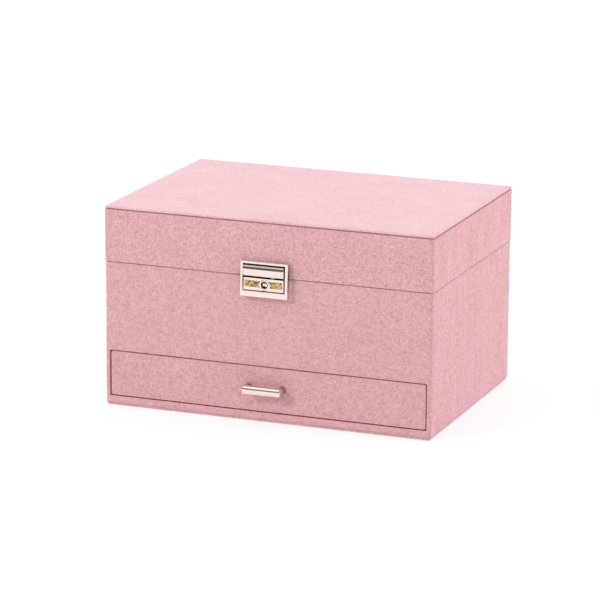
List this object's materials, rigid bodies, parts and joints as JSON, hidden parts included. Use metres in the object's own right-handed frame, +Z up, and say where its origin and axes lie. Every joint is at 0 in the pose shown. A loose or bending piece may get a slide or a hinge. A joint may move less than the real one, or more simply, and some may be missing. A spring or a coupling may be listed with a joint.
{
  "type": "jewellery box",
  "caption": "Suedette-covered jewellery box with a hinged locking lid, a lift-out tray with ring rolls under a mirror, and one full-width pull-out drawer below.",
  "frame": {"origin": "centre of the underside of the base panel, where the box stands on a table", "axes": "+X to the right seen from the front, -Y out of the front (lock and drawer side), +Z up"},
  "size_m": [0.24, 0.1847, 0.142],
  "materials": {
    "suedette": "short-nap suedette, matt",
    "board": "bare fibreboard",
    "velvet": "short-pile velvet lining",
    "nickel": "polished, warm pale nickel",
    "steel": "plain zinc-plated",
    "mirror": "silvered glass"
  },
  "bodies": {
    "chest": {"base_panel": "suedette", "bottom_board": "board", "side_board_left": "board", "side_board_right": "board", "drawer_deck": "board", "front_board": "board", "back_board": "board", "chest_cover": "suedette", "liner_front": "velvet", "liner_back": "velvet", "liner_left": "velvet", "liner_right": "velvet", "floor_pad": "velvet", "compartment_divider": "velvet", "lock_case": "nickel", "hinge_leaf_lower_left": "nickel", "hinge_leaf_lower_right": "nickel", "hinge_screw_lower_left_a": "steel", "hinge_screw_lower_left_b": "steel", "hinge_screw_lower_right_a": "steel", "hinge_screw_lower_right_b": "steel"},
    "lid": {"lid_board_left": "board", "lid_board_right": "board", "lid_board_front": "board", "lid_board_back": "board", "lid_deck": "board", "top_panel": "suedette", "lid_cover": "suedette", "lid_pad": "velvet", "mirror_glass": "mirror", "mirror_frame": "nickel", "hasp_frame": "nickel", "hasp_bar": "nickel", "hinge_leaf_upper_left": "nickel", "hinge_leaf_upper_right": "nickel", "hinge_pin_left": "steel", "hinge_pin_right": "steel", "hinge_screw_upper_left_a": "steel", "hinge_screw_upper_left_b": "steel", "hinge_screw_upper_right_a": "steel", "hinge_screw_upper_right_b": "steel"},
    "key_cylinder": {"key_plug": "nickel", "lock_cam": "steel"},
    "drawer": {"drawer_front": "board", "drawer_front_cover": "suedette", "drawer_bottom": "board", "drawer_side_left": "velvet", "drawer_side_right": "velvet", "drawer_back": "velvet", "drawer_pad": "velvet", "drawer_divider": "velvet", "pull_handle": "nickel", "pull_screw_left": "steel", "pull_screw_right": "steel"},
    "tray": {"tray_base": "velvet", "tray_frame": "velvet", "tray_divider_long": "velvet", "tray_divider_ring": "velvet", "tray_divider_small": "velvet", "ring_rolls": "velvet"}
  },
  "joints": [
    {"name": "lid_hinge", "type": "hinge", "parent": "chest", "child": "lid", "pos_m": [0, 0.0868, 0.1027], "axis": [-1, 0, 0], "range_deg": [0, 100]},
    {"name": "drawer_slide", "type": "slide", "parent": "chest", "child": "drawer", "axis": [0, -1, 0], "range_m": [0, 0.13]},
    {"name": "key_turn", "type": "hinge", "parent": "chest", "child": "key_cylinder", "pos_m": [0, -0.0868, 0.0978], "axis": [0, 1, 0], "range_deg": [0, 90]},
    {"name": "tray_lift", "type": "slide", "parent": "chest", "child": "tray", "axis": [0, 0, 1], "range_m": [0, 0.028]}
  ]
}
